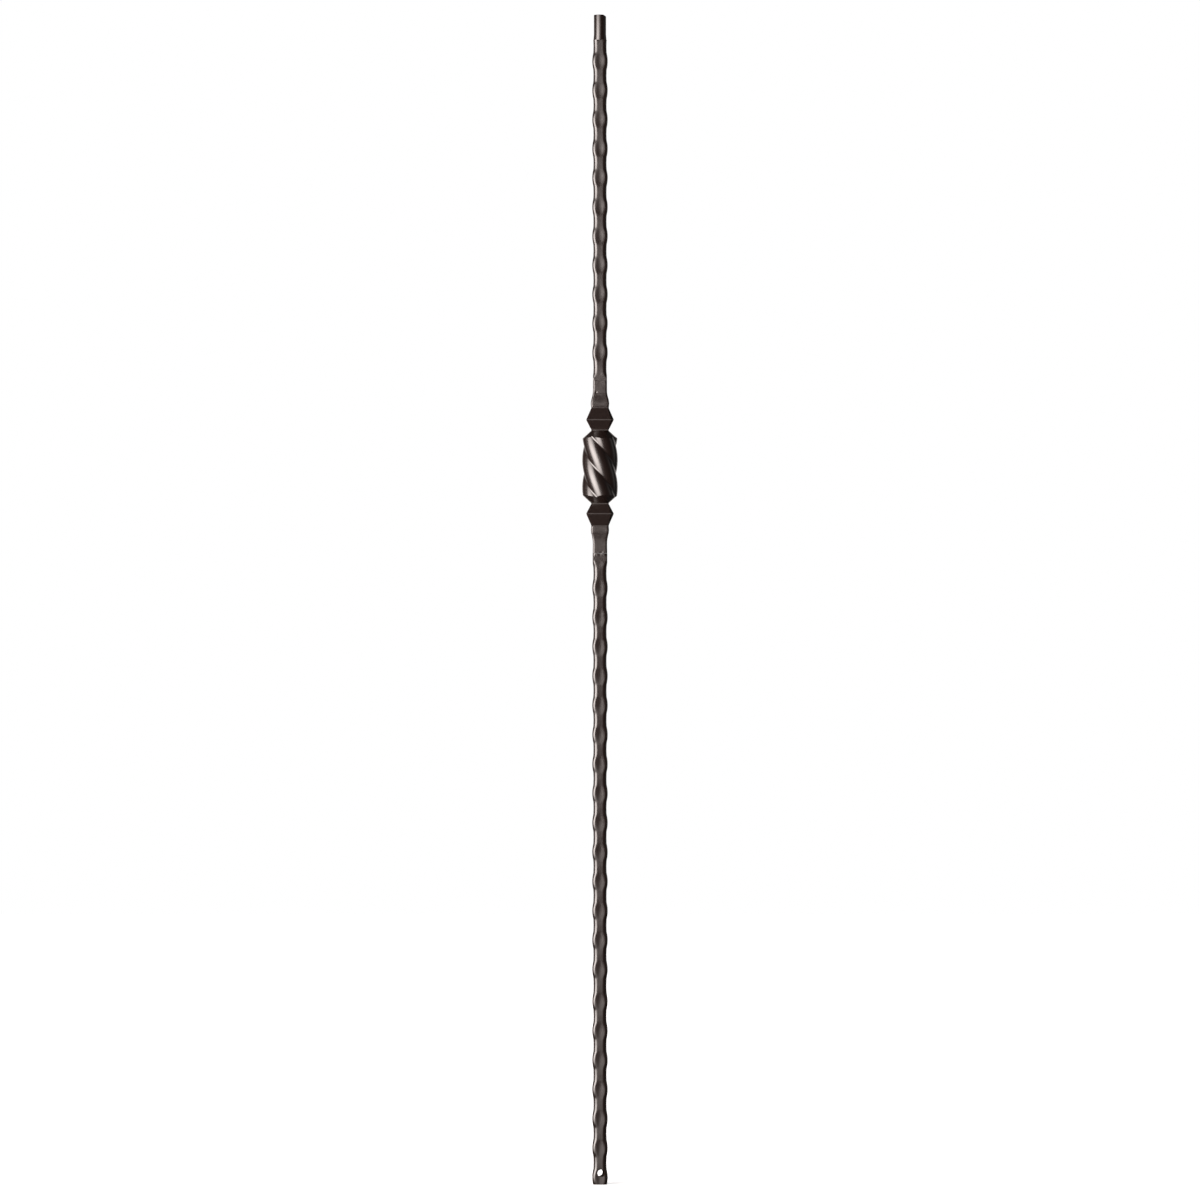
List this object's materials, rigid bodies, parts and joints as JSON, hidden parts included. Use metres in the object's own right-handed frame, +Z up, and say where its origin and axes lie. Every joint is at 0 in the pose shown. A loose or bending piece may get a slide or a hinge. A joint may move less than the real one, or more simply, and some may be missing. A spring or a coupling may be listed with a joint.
{
  "type": "iron stair baluster",
  "caption": "Hammered square iron stair baluster with a twisted bulb between square collars, a round top tenon and a cross hole in its foot.",
  "frame": {"origin": "middle of the sawn foot", "axes": "+Z up the baluster to its tenon, -Y to the side that the picture shows, +X to the right in the picture"},
  "size_m": [0.034, 0.034, 1.1176],
  "materials": {
    "coated_iron": "semi-gloss dark brown-black powder coat on forged iron"
  },
  "bodies": {
    "root": {"lower_bar": "coated_iron", "knuckle": "coated_iron", "upper_bar": "coated_iron"}
  },
  "joints": []
}
